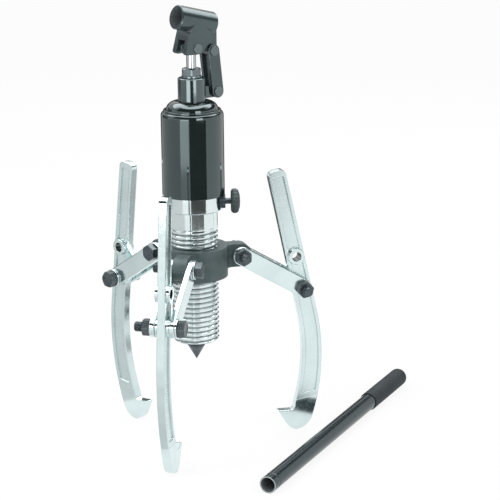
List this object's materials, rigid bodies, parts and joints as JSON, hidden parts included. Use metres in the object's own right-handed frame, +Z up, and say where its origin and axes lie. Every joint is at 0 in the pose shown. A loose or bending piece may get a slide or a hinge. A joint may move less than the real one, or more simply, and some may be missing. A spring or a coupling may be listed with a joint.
{
  "type": "hydraulic gear puller",
  "caption": "Self-contained hydraulic gear puller: a screw cylinder with oil tank and hand pump in a cast carrier, with linked, hook-footed forged jaws and a loose pump handle.",
  "frame": {"origin": "on the floor, on the screw axis", "axes": "+Z up along the screw and ram; the front leg points along -Y, the release knob towards +X"},
  "size_m": [0.4321, 0.4897, 0.6498],
  "materials": {
    "chrome": "bright chrome plate",
    "gloss_black_paint": "gloss",
    "cast_black": "satin over a cast skin",
    "black_oxide": "satin black oxide",
    "dark_steel": "gloss",
    "pin_steel": "ground",
    "brass": "turned",
    "knob_black": "matte, grained",
    "handle_paint": "semi gloss",
    "grip_rubber": "matte",
    "seal_rubber": "matte"
  },
  "bodies": {
    "carrier": {"carrier": "cast_black", "inner_bolts": "black_oxide", "inner_nuts": "black_oxide", "inner_washers": "chrome"},
    "rod_wiper": {"rod_wiper": "seal_rubber", "return_spring": "pin_steel"},
    "hydraulic_unit": {"threaded_cylinder": "chrome", "ram_gland": "dark_steel", "reservoir_tube": "gloss_black_paint", "tank_seal": "seal_rubber", "reservoir_cap": "gloss_black_paint", "filler_screw": "dark_steel", "pump_cylinder": "dark_steel", "plunger_packing": "seal_rubber", "gland_nut": "dark_steel", "link_foot_pin": "dark_steel", "release_valve_body": "black_oxide", "delivery_valve_ball": "pin_steel", "delivery_valve_spring": "pin_steel", "delivery_valve_plug": "brass", "suction_valve_ball": "pin_steel", "suction_valve_spring": "pin_steel", "suction_valve_plug": "brass"},
    "ram": {"ram": "chrome", "piston_seal": "seal_rubber", "centre_point": "black_oxide"},
    "plunger": {"plunger": "chrome"},
    "handle_socket": {"handle_socket": "dark_steel", "plunger_pin": "dark_steel"},
    "pump_link": {"pump_link_near": "dark_steel", "pump_link_far": "dark_steel", "link_top_pin": "dark_steel"},
    "release_ball": {"release_valve_ball": "pin_steel"},
    "release_knob": {"release_valve_stem": "black_oxide", "release_valve_knob": "knob_black"},
    "pump_handle": {"handle_tube": "handle_paint", "handle_grip": "grip_rubber"},
    "front_links": {"front_link_nut_side": "chrome", "front_link_head_side": "chrome", "front_outer_bolt": "black_oxide", "front_outer_nut": "black_oxide", "front_outer_washer": "chrome"},
    "front_jaw": {"front_jaw": "chrome"},
    "right_links": {"right_link_nut_side": "chrome", "right_link_head_side": "chrome", "right_outer_bolt": "black_oxide", "right_outer_nut": "black_oxide", "right_outer_washer": "chrome"},
    "right_jaw": {"right_jaw": "chrome"},
    "left_links": {"left_link_nut_side": "chrome", "left_link_head_side": "chrome", "left_outer_bolt": "black_oxide", "left_outer_nut": "black_oxide", "left_outer_washer": "chrome"},
    "left_jaw": {"left_jaw": "chrome"}
  },
  "joints": [
    {"name": "screw_feed", "type": "slide", "parent": "carrier", "child": "rod_wiper", "axis": [0, 0, 1], "range_m": [-0.0255, 0.07267]},
    {"name": "screw_turn", "type": "hinge", "parent": "rod_wiper", "child": "hydraulic_unit", "pos_m": [0, 0, 0.28], "axis": [0, 0, 1], "range_deg": [-1260, 3600]},
    {"name": "ram_extend", "type": "slide", "parent": "rod_wiper", "child": "ram", "axis": [0, 0, -1], "range_m": [0, 0.08], "stiffness_N_per_m": 1500, "springref_m": -0.04, "deforming": ["return_spring"]},
    {"name": "plunger_stroke", "type": "slide", "parent": "hydraulic_unit", "child": "plunger", "axis": [0, 0, 1], "range_m": [-0.0115, 0.003]},
    {"name": "handle_pump", "type": "hinge", "parent": "plunger", "child": "handle_socket", "pos_m": [0, 0, 0.588], "axis": [0.7771, -0.6293, 0], "range_deg": [-5, 20]},
    {"name": "pump_link_swing", "type": "hinge", "parent": "hydraulic_unit", "child": "pump_link", "pos_m": [0.02391, 0.02953, 0.523], "axis": [0.7771, -0.6293, 0], "range_deg": [-1, 0.5]},
    {"name": "release_lift", "type": "slide", "parent": "hydraulic_unit", "child": "release_ball", "axis": [0.9613, 0.2756, 0], "range_m": [0, 0.0015]},
    {"name": "release_turn", "type": "hinge", "parent": "release_ball", "child": "release_knob", "pos_m": [0.04806, 0.01378, 0.365], "axis": [0.9613, 0.2756, 0], "range_deg": [0, 362]},
    {"name": "handle_lift", "type": "slide", "parent": "carrier", "child": "pump_handle", "axis": [0, 0, 1], "range_m": [0, 0.2]},
    {"name": "front_link_lift", "type": "hinge", "parent": "carrier", "child": "front_links", "pos_m": [0, -0.0668, 0.2817], "axis": [-1, 0, 0], "range_deg": [-20, 25]},
    {"name": "front_jaw_swing", "type": "hinge", "parent": "front_links", "child": "front_jaw", "pos_m": [0, -0.15985, 0.22304], "axis": [1, 0, 0], "range_deg": [-12, 25]},
    {"name": "right_link_lift", "type": "hinge", "parent": "carrier", "child": "right_links", "pos_m": [0.05785, 0.0334, 0.2817], "axis": [0.5, -0.866, 0], "range_deg": [-20, 25]},
    {"name": "right_jaw_swing", "type": "hinge", "parent": "right_links", "child": "right_jaw", "pos_m": [0.13935, 0.08045, 0.22474], "axis": [-0.5, 0.866, 0], "range_deg": [-12, 25]},
    {"name": "left_link_lift", "type": "hinge", "parent": "carrier", "child": "left_links", "pos_m": [-0.05785, 0.0334, 0.2817], "axis": [0.5, 0.866, 0], "range_deg": [-20, 25]},
    {"name": "left_jaw_swing", "type": "hinge", "parent": "left_links", "child": "left_jaw", "pos_m": [-0.13844, 0.07993, 0.22304], "axis": [-0.5, -0.866, 0], "range_deg": [-12, 25]}
  ],
  "couplings": [
    {"joint": "screw_feed", "follows": "screw_turn", "m_per_rad": 0.001155},
    {"joint": "plunger_stroke", "follows": "handle_pump", "m_per_rad": -0.03158},
    {"joint": "pump_link_swing", "follows": "handle_pump", "ratio": -0.0395},
    {"joint": "release_turn", "follows": "release_lift", "rad_per_m": 4188.8}
  ]
}
